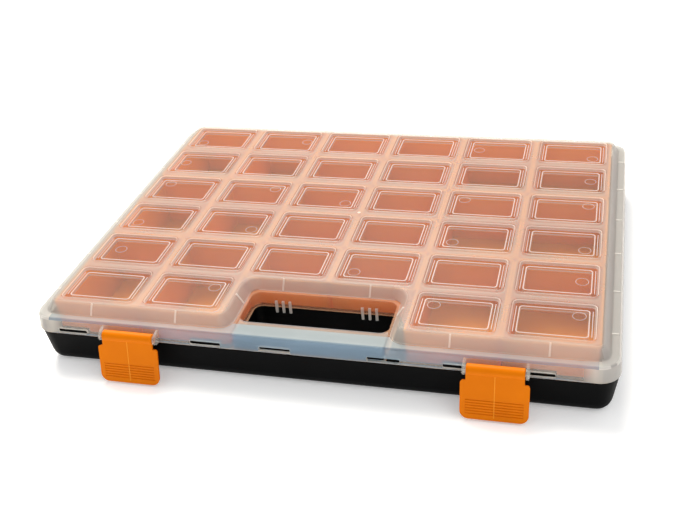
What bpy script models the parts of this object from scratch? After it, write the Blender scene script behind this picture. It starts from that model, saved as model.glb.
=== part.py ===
"""Parts sorting tray: a flat organiser case with a clear lid, two snap latches and lift-out bins.

Metres, +Z up, +X to the right, +Y to the hinge side. The origin is at the middle of the underside.
"""
from math import cos, pi, radians, sin

import bmesh
import bpy
from mathutils import Matrix, Vector

MM = 0.001

# Case, closed.
CASE_LENGTH = 400 * MM
CASE_DEPTH = 315 * MM
CASE_HEIGHT = 48 * MM

# Compartment grid.
COLUMNS = 6
ROWS = 6
PITCH_X = 62.4 * MM
PITCH_Y = 48.4 * MM
HANDLE_COLUMNS = (3, 4)
DOUBLE_COLUMNS = (1, 2, 5, 6)

# Lid.
LID_WALL = 1.4 * MM
PLATE = 1.6 * MM
SKIRT_BOTTOM = 28 * MM
LEDGE = 40 * MM
SKIRT_DRAFT = 1.2 * MM
SHOULDER_INSET = 7 * MM
PLATE_INSET = 12 * MM
LID_CORNER = 14 * MM
SHOULDER_CORNER = 7 * MM
POCKET = (54.4 * MM, 39.4 * MM)
POCKET_DEPTH = 0.7 * MM
POCKET_CORNER = 4 * MM
RIB_OUTER = (47.2 * MM, 31.4 * MM)
RIB_WALL = 1.2 * MM
RIB_DROP = 3.5 * MM

# Handle recess at the front.
GRIP_HALF = 51.5 * MM
GRIP_REAR = -105 * MM
GRIP_FRONT = -140.5 * MM
GRIP_CORNER = 6 * MM
RECESS_HALF = (54 * MM, 59 * MM)
RECESS_REAR = (-102 * MM, -98 * MM)
RECESS_CORNER = 8 * MM

# Base.
BASE_WALL = 1.6 * MM
SHOULDER_STEP = 0.7 * MM
BASE_SHOULDER = 27.7 * MM
BASE_RIM = 29 * MM
BASE_DRAFT = 4.4 * MM
BASE_BOTTOM_ROUND = 9 * MM
FLOOR = 2 * MM
HANDLE_TOP = 38.2 * MM

# Clearances.
GAP = 0.6 * MM
TOUCH = 0.3 * MM
BIN_GAP = 1 * MM

SKIRT_SLOPE = SKIRT_DRAFT / (LEDGE - SKIRT_BOTTOM)
RIM_INSET = LID_WALL + GAP + SKIRT_SLOPE * (BASE_RIM - SKIRT_BOTTOM)

# Bins.
BIN_TOP = 45.4 * MM
BIN_WALL = 1.2 * MM
BIN_DRAFT = 1.5 * MM
BIN_CORNER = 3 * MM
BIN_BOTTOM_ROUND = 2.5 * MM

# Latches, which turn on pegs of the lid's ears.
LATCH_X = 124.2 * MM
LATCH_PIVOT = (-161.8 * MM, 33.7 * MM)
LATCH_LEAN = radians(12)
LATCH_LENGTH = 32.5 * MM
LATCH_THICK = 2 * MM
BARREL_RADIUS = 3.8 * MM
BARREL_HALF = 18.3 * MM
PLATE_HALF = 21 * MM
BARREL_BORE = 1.9 * MM
BORE_DEPTH = 4 * MM
PEG_RADIUS = 1.5 * MM
EAR_THICK = 2 * MM
EAR_GAP = 0.5 * MM
HOOK_HALF = 14 * MM
CATCH_HALF = 15 * MM
CATCH_Z = (18.5 * MM, 21.5 * MM)
CATCH_TIP = -160 * MM
HOOK_TIP = -158.2 * MM
HOOK_ROOT = -168 * MM

# Hinge at the rear.
HINGE_AXIS = (162.5 * MM, 28.5 * MM)
HINGE_XS = (-120 * MM, 0.0, 120 * MM)
PIN_RADIUS = 1.6 * MM
CLIP_INNER = 2 * MM
CLIP_OUTER = 3.5 * MM
CLIP_HALF = 6.5 * MM
LUG_RADIUS = 3.4 * MM
LUG_THICK = 3 * MM
LUG_GAP = 0.6 * MM
LUG_DEPTH = 15 * MM

OVER = 10 * MM

for old in list(bpy.data.objects):
    bpy.data.objects.remove(old, do_unlink=True)

PARTS = bpy.data.collections.new("parts_sorting_tray")
CUTTERS = bpy.data.collections.new("cutters")
bpy.context.scene.collection.children.link(PARTS)
bpy.context.scene.collection.children.link(CUTTERS)


def plastic(name, colour, roughness):
    """A plain moulded plastic."""
    material = bpy.data.materials.new(name)
    material.use_nodes = True
    shader = material.node_tree.nodes["Principled BSDF"]
    shader.inputs["Base Color"].default_value = (*colour, 1)
    shader.inputs["Roughness"].default_value = roughness
    shader.inputs["Metallic"].default_value = 0
    return material


BLACK = plastic("base_black", (0.012, 0.012, 0.013), 0.5)
CLEAR = plastic("lid_frosted", (0.75, 0.78, 0.78), 0.35)
LATCH_ORANGE = plastic("latch_orange", (0.86, 0.3, 0.02), 0.4)
BIN_ORANGE = plastic("bin_orange", (0.8, 0.2, 0.04), 0.45)


def object_from(bm, name, material=None):
    """A part in the parts collection, or a cutter where no material is given."""
    bmesh.ops.recalc_face_normals(bm, faces=bm.faces)
    mesh = bpy.data.meshes.new(name)
    bm.to_mesh(mesh)
    bm.free()
    made = bpy.data.objects.new(name, mesh)
    if material:
        mesh.materials.append(material)
        PARTS.objects.link(made)
    else:
        CUTTERS.objects.link(made)
        made.hide_render = True
        made.display_type = "WIRE"
    return made


def is_upright(edge):
    low, high = sorted(vert.co.z for vert in edge.verts)
    return high - low > 0.5 * MM


def block(name, low, high, material=None, taper=(0, 0), corner=0, corner_segments=3, round_edge=None):
    """A box from low to high, in from its sides by taper at the bottom and the top.

    round_edge is (bottom or top, radius, segments) for the loop of edges round one end.
    """
    low, high = Vector(low), Vector(high)
    bm = bmesh.new()
    bmesh.ops.create_cube(bm, size=1)
    bmesh.ops.scale(bm, vec=high - low, verts=bm.verts)
    bmesh.ops.translate(bm, vec=(low + high) / 2, verts=bm.verts)
    middle = (low + high) / 2
    for vert in bm.verts:
        inset = taper[1] if vert.co.z > middle.z else taper[0]
        vert.co.x += -inset if vert.co.x > middle.x else inset
        vert.co.y += -inset if vert.co.y > middle.y else inset
    if corner:
        upright = [edge for edge in bm.edges if is_upright(edge)]
        bmesh.ops.bevel(bm, geom=upright, offset=corner, segments=corner_segments, profile=0.5,
                        affect="EDGES")
    if round_edge:
        end, radius, segments = round_edge
        level = high.z if end == "top" else low.z
        rim = [edge for edge in bm.edges if all(abs(v.co.z - level) < 0.01 * MM for v in edge.verts)]
        bmesh.ops.bevel(bm, geom=rim, offset=radius, segments=segments, profile=0.5, affect="EDGES")
    return object_from(bm, name, material)


def combine(target, other, operation):
    """Cut or join another object to the target."""
    step = target.modifiers.new(other.name, "BOOLEAN")
    step.object = other
    step.operation = operation
    step.solver = "EXACT"


def cut(target, *others):
    for other in others:
        combine(target, other, "DIFFERENCE")


def join(target, *others):
    for other in others:
        combine(target, other, "UNION")


def arc(centre, radius, start, end, steps):
    """Points on an arc about centre, with angles in degrees."""
    points = []
    for step in range(steps + 1):
        angle = radians(start + (end - start) * step / steps)
        points.append((centre[0] + radius * cos(angle), centre[1] + radius * sin(angle)))
    return points


def prism(name, outline, x_low, x_high):
    """A cutter or added piece: an outline of (y, z) points pushed along X."""
    curve = bpy.data.curves.new(name, "CURVE")
    curve.dimensions = "2D"
    curve.fill_mode = "BOTH"
    curve.extrude = (x_high - x_low) / 2
    spline = curve.splines.new("POLY")
    spline.points.add(len(outline) - 1)
    for point, (y, z) in zip(spline.points, outline):
        point.co = (y, z, 0, 1)
    spline.use_cyclic_u = True
    flat = bpy.data.objects.new(name + "_outline", curve)
    CUTTERS.objects.link(flat)
    bpy.context.view_layer.update()
    graph = bpy.context.evaluated_depsgraph_get()
    mesh = bpy.data.meshes.new_from_object(flat.evaluated_get(graph))
    bpy.data.objects.remove(flat, do_unlink=True)
    bm = bmesh.new()
    bm.from_mesh(mesh)
    bpy.data.meshes.remove(mesh)
    bmesh.ops.remove_doubles(bm, verts=bm.verts, dist=0.001 * MM)
    turn = Matrix(((0, 0, 1), (1, 0, 0), (0, 1, 0))).to_4x4()
    place = Matrix.Translation(((x_low + x_high) / 2, 0, 0))
    bmesh.ops.transform(bm, matrix=place @ turn, verts=bm.verts)
    return object_from(bm, name)


def rod(name, centre, radius, x_low, x_high, segments=16):
    """A round bar along X, centre given as (y, z)."""
    bm = bmesh.new()
    turn = Matrix.Rotation(pi / 2, 4, "Y")
    place = Matrix.Translation(((x_low + x_high) / 2, centre[0], centre[1]))
    bmesh.ops.create_cone(bm, cap_ends=True, segments=segments, radius1=radius, radius2=radius,
                          depth=x_high - x_low, matrix=place @ turn)
    return object_from(bm, name)


def cell(column, row):
    """The middle of a compartment; column 1 is on the left and row 1 at the hinge."""
    return ((column - (COLUMNS + 1) / 2) * PITCH_X, ((ROWS + 1) / 2 - row) * PITCH_Y)


def lid_cells():
    """Every compartment with a pocket in the lid: all but the two that the handle takes."""
    for row in range(1, ROWS + 1):
        for column in range(1, COLUMNS + 1):
            if row < ROWS or column not in HANDLE_COLUMNS:
                yield column, row


def make_base():
    """The black tray: tapered walls, a rim that the lid's skirt fits over, and the handle bar."""
    half_x, half_y = CASE_LENGTH / 2, CASE_DEPTH / 2
    base = block("base_tray", (-half_x + SHOULDER_STEP, -half_y + SHOULDER_STEP, 0),
                 (half_x - SHOULDER_STEP, half_y - SHOULDER_STEP, BASE_SHOULDER), BLACK,
                 taper=(BASE_DRAFT, 0), corner=LID_CORNER, round_edge=("bottom", BASE_BOTTOM_ROUND, 3))
    lip = RIM_INSET
    rim = block("base_rim", (-half_x + lip, -half_y + lip, FLOOR + BASE_BOTTOM_ROUND),
                (half_x - lip, half_y - lip, BASE_RIM), taper=(BASE_DRAFT, 0), corner=LID_CORNER - lip)
    join(base, rim)
    inside = lip + BASE_WALL
    cavity = block("base_cavity", (-half_x + inside, -half_y + inside, FLOOR),
                   (half_x - inside, half_y - inside, BASE_RIM + OVER), taper=(BASE_DRAFT + 2 * MM, 0),
                   corner=LID_CORNER - inside, round_edge=("bottom", 6 * MM, 2))
    side = GRIP_HALF + BASE_WALL + GAP
    rear = GRIP_REAR + BASE_WALL + GAP
    keep = block("base_grip_block", (-side, -half_y - OVER, -OVER), (side, rear, BASE_RIM + 3 * OVER))
    cut(cavity, keep)
    cut(base, cavity)
    rim_cut = block("base_rim_cut", (-side - TOUCH, -half_y - OVER, BASE_SHOULDER),
                    (side + TOUCH, rear + TOUCH, BASE_RIM + OVER))
    grip = block("base_grip_hole", (-GRIP_HALF, GRIP_FRONT, -OVER),
                 (GRIP_HALF, GRIP_REAR, BASE_RIM + OVER), corner=GRIP_CORNER, corner_segments=2)
    bar = block("base_handle_bar", (-GRIP_HALF + GAP, -half_y + lip + GAP, BASE_SHOULDER - OVER),
                (GRIP_HALF - GAP, GRIP_FRONT - GAP, HANDLE_TOP))
    hollow = block("base_handle_hollow", (-GRIP_HALF, -half_y + 3 * lip + BASE_WALL, -OVER),
                   (GRIP_HALF, GRIP_FRONT - BASE_WALL, HANDLE_TOP - BASE_WALL))
    cut(base, rim_cut, grip)
    join(base, bar)
    cut(base, hollow)
    for side_sign in (-1, 1):
        centre = side_sign * LATCH_X
        low, high = CATCH_Z
        wall = -half_y + BASE_DRAFT + BASE_WALL / 2
        outline = [(wall, low), (CATCH_TIP, low), (CATCH_TIP, high - 1 * MM), (wall, high + 3 * MM)]
        join(base, prism(f"base_catch_{side_sign}", outline, centre - CATCH_HALF, centre + CATCH_HALF))
    for index, centre in enumerate(HINGE_XS):
        inner = CLIP_HALF + LUG_GAP
        wall = half_y - BASE_DRAFT - BASE_WALL / 2
        top = BASE_SHOULDER - TOUCH
        outline = [(wall, top - LUG_DEPTH), (wall, top), (half_y + TOUCH, top)]
        outline += arc(HINGE_AXIS, LUG_RADIUS, 170, -60, 10)
        for end in (-1, 1):
            x_low, x_high = sorted((centre + end * inner, centre + end * (inner + LUG_THICK)))
            join(base, prism(f"base_lug_{index}_{end}", outline, x_low, x_high))
        reach = inner + LUG_THICK / 2
        join(base, rod(f"base_pin_{index}", HINGE_AXIS, PIN_RADIUS, centre - reach, centre + reach, 12))
    return base


def lid_ear(name, x_low, x_high):
    """One clear ear, which carries a latch's peg."""
    outer = -CASE_DEPTH / 2 + LID_WALL
    y, z = LATCH_PIVOT
    outline = [(outer, LEDGE - 1.5 * MM), (outer, z - 4 * MM)]
    outline += [(y + 1 * MM, z - 3.8 * MM)]
    outline += arc(LATCH_PIVOT, 3.6 * MM, 270, 90, 6)
    return prism(name, outline, x_low, x_high)


def make_lid():
    """The clear lid: flat top with pockets, sloping shoulder, ledge, skirt, strip over the handle."""
    half_x, half_y = CASE_LENGTH / 2, CASE_DEPTH / 2
    lid = block("lid", (-half_x, -half_y, SKIRT_BOTTOM), (half_x, half_y, LEDGE), CLEAR,
                taper=(0, SKIRT_DRAFT), corner=LID_CORNER)
    rise = 2 * MM
    top = block("lid_top", (-half_x + SHOULDER_INSET, -half_y + SHOULDER_INSET, LEDGE - rise),
                (half_x - SHOULDER_INSET, half_y - SHOULDER_INSET, CASE_HEIGHT),
                taper=(-rise * 0.6, PLATE_INSET - SHOULDER_INSET), corner=SHOULDER_CORNER)
    join(lid, top)
    recess = block("lid_recess", (-RECESS_HALF[0], -half_y - OVER, LEDGE),
                   (RECESS_HALF[0], RECESS_REAR[0], CASE_HEIGHT),
                   taper=(0, -(RECESS_HALF[1] - RECESS_HALF[0])), corner=RECESS_CORNER)
    raise_end = block("lid_recess_rise", (-RECESS_HALF[1], -half_y - OVER, CASE_HEIGHT - 0.01 * MM),
                      (RECESS_HALF[1], RECESS_REAR[1], CASE_HEIGHT + OVER), corner=RECESS_CORNER)
    grip = block("lid_grip_hole", (-GRIP_HALF, GRIP_FRONT, SKIRT_BOTTOM - OVER),
                 (GRIP_HALF, GRIP_REAR, LEDGE + OVER / 2), corner=GRIP_CORNER, corner_segments=2)
    inset = SHOULDER_INSET + LID_WALL
    upper = block("lid_upper_hollow", (-half_x + inset, -half_y + inset, LEDGE - LID_WALL - 0.1 * MM),
                  (half_x - inset, half_y - inset, CASE_HEIGHT - PLATE),
                  taper=(-1 * MM, PLATE_INSET - inset + 0.4 * MM), corner=SHOULDER_CORNER - LID_WALL)
    fence = block("lid_upper_fence",
                  (-RECESS_HALF[0] - LID_WALL, -half_y - OVER, LEDGE - 2 * OVER),
                  (RECESS_HALF[0] + LID_WALL, RECESS_REAR[0] + LID_WALL + 0.3 * MM, CASE_HEIGHT),
                  corner=RECESS_CORNER + LID_WALL)
    for vert in fence.data.vertices:
        if vert.co.z > LEDGE:
            vert.co.x += (RECESS_HALF[1] - RECESS_HALF[0]) * (1 if vert.co.x > 0 else -1)
            vert.co.y += RECESS_REAR[1] - RECESS_REAR[0]
    cut(upper, fence)
    lower = block("lid_lower_hollow", (-half_x + LID_WALL, -half_y + LID_WALL, SKIRT_BOTTOM - OVER),
                  (half_x - LID_WALL, half_y - LID_WALL, LEDGE - LID_WALL),
                  taper=(-SKIRT_SLOPE * OVER, SKIRT_SLOPE * (LEDGE - LID_WALL - SKIRT_BOTTOM)),
                  corner=LID_CORNER - LID_WALL)
    post = GRIP_HALF + LID_WALL
    lower_fence = block("lid_lower_fence", (-post, -half_y - OVER, SKIRT_BOTTOM - 2 * OVER),
                        (post, GRIP_REAR + LID_WALL, LEDGE + OVER))
    cut(lower, lower_fence)
    under_strip = block("lid_strip_hollow", (-GRIP_HALF, -half_y + LID_WALL + 0.9 * MM, SKIRT_BOTTOM - OVER),
                        (GRIP_HALF, GRIP_FRONT + OVER, LEDGE - LID_WALL))
    cut(lid, recess, raise_end, grip, upper, lower, under_strip)
    for column, row in lid_cells():
        x, y = cell(column, row)
        wide, deep = POCKET[0] / 2, POCKET[1] / 2
        pocket = block(f"lid_pocket_{column}_{row}", (x - wide, y - deep, CASE_HEIGHT - POCKET_DEPTH),
                       (x + wide, y + deep, CASE_HEIGHT + OVER), corner=POCKET_CORNER, corner_segments=2)
        cut(lid, pocket)
    for column, row in lid_cells():
        x, y = cell(column, row)
        wide, deep = RIB_OUTER[0] / 2, RIB_OUTER[1] / 2
        base_z = CASE_HEIGHT - PLATE
        rib = block(f"lid_rib_{column}_{row}", (x - wide, y - deep, base_z - RIB_DROP),
                    (x + wide, y + deep, base_z + 0.2 * MM))
        wide, deep = wide - RIB_WALL, deep - RIB_WALL
        core = block(f"lid_rib_core_{column}_{row}", (x - wide, y - deep, base_z - RIB_DROP - OVER),
                     (x + wide, y + deep, base_z))
        cut(rib, core)
        join(lid, rib)
    for side_sign in (-1, 1):
        centre = side_sign * LATCH_X
        for end in (-1, 1):
            near = centre + end * (BARREL_HALF + EAR_GAP)
            far = near + end * EAR_THICK
            join(lid, lid_ear(f"lid_ear_{side_sign}_{end}", *sorted((near, far))))
            tip = centre + end * (BARREL_HALF - BORE_DEPTH + 2 * EAR_GAP)
            root = near + end * EAR_THICK / 2
            join(lid, rod(f"lid_peg_{side_sign}_{end}", LATCH_PIVOT, PEG_RADIUS, *sorted((tip, root)), 12))
    for index, centre in enumerate(HINGE_XS):
        y, z = HINGE_AXIS
        inside = half_y - LID_WALL
        outline = arc(HINGE_AXIS, CLIP_OUTER, -35, 120, 8)
        outline += [(inside, z + 5.5 * MM), (inside, z + 1.5 * MM)]
        outline += [(y + CLIP_OUTER * cos(radians(175)), z + 1.5 * MM)]
        outline += arc(HINGE_AXIS, CLIP_OUTER, 185, 205, 1) + arc(HINGE_AXIS, CLIP_INNER, 205, -35, 12)
        join(lid, prism(f"lid_clip_{index}", outline, centre - CLIP_HALF, centre + CLIP_HALF))
    return lid


def make_latch(name, centre):
    """One snap latch: barrel, leaning finger plate and the hook behind it."""
    y, z = LATCH_PIVOT
    away = Vector((-sin(LATCH_LEAN), -cos(LATCH_LEAN)))
    across = Vector((-cos(LATCH_LEAN), sin(LATCH_LEAN)))
    pivot = Vector((y, z))

    def along(distance, offset):
        point = pivot + away * distance + across * offset
        return (point.x, point.y)

    face = BARREL_RADIUS - 0.4 * MM
    back = face - LATCH_THICK
    plate = [along(7 * MM, back), along(7 * MM, face), along(LATCH_LENGTH - 1 * MM, face),
             along(LATCH_LENGTH, face - 1 * MM), along(LATCH_LENGTH, back)]
    latch = prism(name, plate, centre - PLATE_HALF, centre + PLATE_HALF)
    CUTTERS.objects.unlink(latch)
    PARTS.objects.link(latch)
    latch.hide_render = False
    latch.display_type = "TEXTURED"
    latch.data.materials.append(LATCH_ORANGE)
    step = 0.3 * MM
    neck = [along(0, back + step), along(0, face - step),
            along(9 * MM, face - step), along(9 * MM, back + step)]
    join(latch, prism(f"{name}_neck", neck, centre - BARREL_HALF, centre + BARREL_HALF))
    join(latch, rod(f"{name}_barrel", LATCH_PIVOT, BARREL_RADIUS,
                    centre - BARREL_HALF, centre + BARREL_HALF, 20))
    top = CATCH_Z[0] - TOUCH
    hook = [(HOOK_TIP, top), (HOOK_TIP, top - 2 * MM), (HOOK_ROOT, top - 5 * MM), (HOOK_ROOT, top)]
    join(latch, prism(f"{name}_hook", hook, centre - HOOK_HALF, centre + HOOK_HALF))
    for end in (-1, 1):
        tip = centre + end * (BARREL_HALF - BORE_DEPTH)
        mouth = centre + end * (BARREL_HALF + OVER)
        cut(latch, rod(f"{name}_bore_{end}", LATCH_PIVOT, BARREL_BORE, *sorted((tip, mouth)), 12))
    return latch


def make_bin(column, first_row, last_row):
    """One lift-out bin, an open shell with drafted walls."""
    x, rear = cell(column, first_row)
    front = cell(column, last_row)[1]
    half_x = (PITCH_X - BIN_GAP) / 2
    low = (x - half_x, front - (PITCH_Y - BIN_GAP) / 2, FLOOR + TOUCH)
    high = (x + half_x, rear + (PITCH_Y - BIN_GAP) / 2, BIN_TOP)
    rows = f"r{first_row}" if first_row == last_row else f"r{first_row}{last_row}"
    shell = block(f"bin_c{column}_{rows}", low, high, BIN_ORANGE, taper=(BIN_DRAFT, 0), corner=BIN_CORNER,
                  corner_segments=2, round_edge=("bottom", BIN_BOTTOM_ROUND, 2))
    bm = bmesh.new()
    bm.from_mesh(shell.data)
    lid_face = [face for face in bm.faces if face.normal.z > 0.9]
    bmesh.ops.delete(bm, geom=lid_face, context="FACES_ONLY")
    bm.to_mesh(shell.data)
    bm.free()
    wall = shell.modifiers.new("wall", "SOLIDIFY")
    wall.thickness = BIN_WALL
    wall.offset = -1
    wall.use_even_offset = True
    return shell


def make_bins():
    for column in range(1, COLUMNS + 1):
        if column in DOUBLE_COLUMNS:
            for first_row in range(1, ROWS, 2):
                make_bin(column, first_row, first_row + 1)
        else:
            for row in range(1, ROWS):
                make_bin(column, row, row)


make_base()
make_lid()
make_latch("latch_left", -LATCH_X)
make_latch("latch_right", LATCH_X)
make_bins()
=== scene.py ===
"""Looks for the parts sorting tray: frosted lid, black base, orange latches and lift-out bins.

Lengths below are in millimetres in the part's own frame: +X right, +Y to the hinge, +Z up.
"""

from math import cos, pi, radians, sin

import bmesh
import bpy
from mathutils import Matrix, Vector


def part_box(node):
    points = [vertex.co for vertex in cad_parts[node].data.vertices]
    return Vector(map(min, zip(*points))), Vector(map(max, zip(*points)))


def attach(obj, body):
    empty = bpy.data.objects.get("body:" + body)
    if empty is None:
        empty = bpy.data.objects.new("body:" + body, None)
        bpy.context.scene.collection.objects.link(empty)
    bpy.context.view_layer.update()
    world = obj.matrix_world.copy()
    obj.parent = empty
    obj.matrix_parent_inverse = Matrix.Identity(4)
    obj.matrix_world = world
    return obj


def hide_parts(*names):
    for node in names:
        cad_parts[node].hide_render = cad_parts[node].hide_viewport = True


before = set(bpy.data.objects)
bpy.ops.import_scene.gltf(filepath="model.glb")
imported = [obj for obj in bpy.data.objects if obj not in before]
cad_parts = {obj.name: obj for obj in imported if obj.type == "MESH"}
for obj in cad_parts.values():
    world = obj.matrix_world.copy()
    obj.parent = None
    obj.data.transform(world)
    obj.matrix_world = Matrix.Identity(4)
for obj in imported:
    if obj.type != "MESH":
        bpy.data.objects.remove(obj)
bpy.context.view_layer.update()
MM = 0.001

# Case.
HALF_X, HALF_Y, TOP = 200, 157.5, 48
COLUMNS, ROWS = 6, 6
PITCH_X, PITCH_Y = 62.4, 48.4
HANDLE_COLUMNS = (3, 4)

# Lid.
SKIRT_BOTTOM, LEDGE = 28, 40
SKIRT_DRAFT = 1.2
WALL = 1.4
PLATE = 1.6
LID_CORNER = 14
FOOT_INSET = 7
SLOPE_RUN = 5
PLATE_CORNER = 9
FRONT_CORNER = 10
RECESS_CORNER = 8
RECESS_HALF = 54
RECESS_REAR = -102.5
GRIP_HALF, GRIP_REAR, GRIP_FRONT = 51.5, -105, -140.5
GRIP_CORNER = 6
POCKET = (27.2, 19.7)
POCKET_CORNER = 4
POCKET_DEPTH = 2
RIB = (22.9, 15.1)
RIB_WIDTH = 1.0
RIB_RISE, RIB_DROP = 0.35, 0.8

# Base.
BASE_STEP = 0.7
BASE_SHOULDER, BASE_RIM = 27.7, 29
BASE_DRAFT = 4.4
BASE_WALL = 1.6
FLOOR = 2
HANDLE_TOP = 38.2
GAP = 0.6
RIM_INSET = WALL + GAP + SKIRT_DRAFT * (BASE_RIM - SKIRT_BOTTOM) / (LEDGE - SKIRT_BOTTOM)

# Bins.
BIN_TOP = 45.4
BIN_WALL = 1.2
BIN_DRAFT = 1.5
BIN_LIP = (0.35, 2.2)
BIN_CORNER = 3.2

# Latches.
LATCH_X = 124.2
LATCH_PIVOT = (-161.8, 33.7)
LATCH_LEAN = radians(12)
LATCH_LENGTH = 32.5
PARTING = (0.28, 0.12)
RIDGES, RIDGE_PITCH = 6, 1.9
LATCH_THICK = 2
BARREL_RADIUS, BARREL_HALF = 3.8, 18.3
PLATE_HALF = 21
PEG_RADIUS, BORE_RADIUS = 1.5, 1.9
CATCH_HALF = 15
CATCH_Z = (18.5, 21.5)
CATCH_TIP = -160
HOOK_TIP, HOOK_ROOT, HOOK_HALF = -158.2, -168, 14

# Hinge.
HINGE_AXIS = (162.5, 28.5)
HINGE_XS = (-120, 0, 120)
CLIP_HALF, CLIP_INNER, CLIP_OUTER = 6.5, 2, 3.5
LUG_RADIUS, LUG_THICK, LUG_GAP = 3.4, 3, 0.6
PIN_RADIUS = 1.6


# ---------------------------------------------------------------- shapes

def rectangle(x, y, half_x, half_y, corner):
    """A plan of four corners, each (x, y, radius), anticlockwise."""
    return [(x - half_x, y - half_y, corner), (x + half_x, y - half_y, corner),
            (x + half_x, y + half_y, corner), (x - half_x, y + half_y, corner)]


def ring(plan, inset, z, steps=8):
    """The plan's outline at height z, moved in by inset, with round corners."""
    points = []
    count = len(plan)
    for index, (x, y, radius) in enumerate(plan):
        here = Vector((x, y))
        before = (here - Vector(plan[index - 1][:2])).normalized()
        after = (Vector(plan[(index + 1) % count][:2]) - here).normalized()
        here += inset * (Vector((-before.y, before.x)) + Vector((-after.y, after.x)))
        outward = 1 if before.cross(after) > 0 else -1
        radius = max(radius - outward * inset, 0.05)
        middle = here + radius * (after - before)
        for step in range(steps + 1):
            angle = pi / 2 * step / steps
            point = middle + radius * (before * sin(angle) - after * cos(angle))
            points.append((point.x, point.y, z))
    return points


def soften(corners, steps=4):
    """A line through (across, up, cut) corners, each rounded off over its cut length."""
    points = []
    for index, (across, up, cut) in enumerate(corners):
        here = Vector((across, up))
        if not cut:
            points.append((across, up))
            continue
        back = here + cut * (Vector(corners[index - 1][:2]) - here).normalized()
        on = here + cut * (Vector(corners[index + 1][:2]) - here).normalized()
        for step in range(steps + 1):
            t = step / steps
            point = (1 - t) ** 2 * back + 2 * t * (1 - t) * here + t * t * on
            points.append((point.x, point.y))
    return points


def loft(bm, rings, closed=False):
    """Adds one closed body through rings with the same number of points."""
    loops = [[bm.verts.new(Vector(point) * MM) for point in points] for points in rings]
    following = loops[1:] + loops[:1] if closed else loops[1:]
    for low, high in zip(loops, following):
        for index in range(len(low)):
            nxt = (index + 1) % len(low)
            bm.faces.new((low[index], low[nxt], high[nxt], high[index]))
    if not closed:
        bm.faces.new(list(reversed(loops[0])))
        bm.faces.new(loops[-1])


def stack(bm, plan, profile, steps=8):
    """A body that follows the plan, with (inset, z) points up its side."""
    loft(bm, [ring(plan, inset, z, steps) for inset, z in profile])


def prism(bm, outline, low, high, round_by=0.3):
    """A body with a (y, z) outline, pushed along X, with its two ends softened."""
    centre_y = sum(point[0] for point in outline) / len(outline)
    centre_z = sum(point[1] for point in outline) / len(outline)
    reach = max(abs(point[0] - centre_y) + abs(point[1] - centre_z) for point in outline)
    small = 1 - round_by / reach
    ends = [(low, small), (low + round_by, 1), (high - round_by, 1), (high, small)]
    loft(bm, [[(x, centre_y + (y - centre_y) * scale, centre_z + (z - centre_z) * scale)
               for y, z in outline] for x, scale in ends])


def rod(bm, centre, radius, low, high, segments=28, round_by=0.4):
    """A round bar along X with softened ends."""
    sides = []
    for x, size in ((low, radius - round_by), (low + round_by, radius),
                    (high - round_by, radius), (high, radius - round_by)):
        sides.append([(x, centre[0] + size * cos(2 * pi * k / segments),
                       centre[1] + size * sin(2 * pi * k / segments)) for k in range(segments)])
    loft(bm, sides)


def circle(x, y, radius, z, count=32):
    """Points of a level circle."""
    angles = [2 * pi * k / count for k in range(count)]
    return [(x + radius * cos(angle), y + radius * sin(angle), z) for angle in angles]


def arc(centre, radius, start, end, steps):
    """Points on an arc about centre, with angles in degrees."""
    angles = [radians(start + (end - start) * step / steps) for step in range(steps + 1)]
    return [(centre[0] + radius * cos(a), centre[1] + radius * sin(a)) for a in angles]


def strip(bm, start, end, side, up, width, height):
    """A thin raised line from start to end, tapered to its top."""
    start, end, side, up = Vector(start), Vector(end), Vector(side).normalized(), Vector(up).normalized()
    sink = 0.4
    rings = []
    for level, share in ((-sink, 1), (height * 0.7, 0.85), (height, 0.5)):
        shift = (end - start).normalized() * (0.5 - share / 2)
        low, high = start + shift, end - shift
        half = side * width * share / 2
        rings.append([low + up * level - half, high + up * level - half,
                      high + up * level + half, low + up * level + half])
    loft(bm, rings)


def tool(build, name="tool"):
    """An object from a function that fills a bmesh."""
    bm = bmesh.new()
    build(bm)
    bmesh.ops.recalc_face_normals(bm, faces=bm.faces)
    mesh = bpy.data.meshes.new(name)
    bm.to_mesh(mesh)
    bm.free()
    made = bpy.data.objects.new(name, mesh)
    bpy.context.scene.collection.objects.link(made)
    return made


def shape(name, build, steps):
    """Builds a body, then joins or cuts it with each (operation, function) step."""
    body = tool(build, name)
    helpers = []
    for operation, function in steps:
        helper = tool(function)
        helpers.append(helper)
        change = body.modifiers.new(operation, "BOOLEAN")
        change.operation = operation
        change.object = helper
        change.solver = "EXACT"
    graph = bpy.context.evaluated_depsgraph_get()
    mesh = bpy.data.meshes.new_from_object(body.evaluated_get(graph))
    body.modifiers.clear()
    body.data = mesh
    for helper in helpers:
        bpy.data.objects.remove(helper, do_unlink=True)
    return body


def finish_mesh(piece, angle=32):
    """Clean joins, smooth shading with sharp creases kept, and flats that stay flat."""
    bm = bmesh.new()
    bm.from_mesh(piece.data)
    bmesh.ops.remove_doubles(bm, verts=bm.verts, dist=0.004 * MM)
    bmesh.ops.dissolve_degenerate(bm, edges=bm.edges, dist=0.002 * MM)
    bm.to_mesh(piece.data)
    bm.free()
    for face in piece.data.polygons:
        face.use_smooth = True
    piece.data.set_sharp_from_angle(angle=radians(angle))
    flats = piece.modifiers.new("flats", "WEIGHTED_NORMAL")
    flats.keep_sharp = True
    flats.weight = 100


def cell(column, row):
    """The middle of a compartment; column 1 is on the left and row 1 at the hinge."""
    return ((column - (COLUMNS + 1) / 2) * PITCH_X, ((ROWS + 1) / 2 - row) * PITCH_Y)


def lid_cells():
    """The (column, row) of each pocket: all compartments but the two where the handle is."""
    for row in range(1, ROWS + 1):
        for column in range(1, COLUMNS + 1):
            if row < ROWS or column not in HANDLE_COLUMNS:
                yield column, row


# ---------------------------------------------------------------- materials

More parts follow.
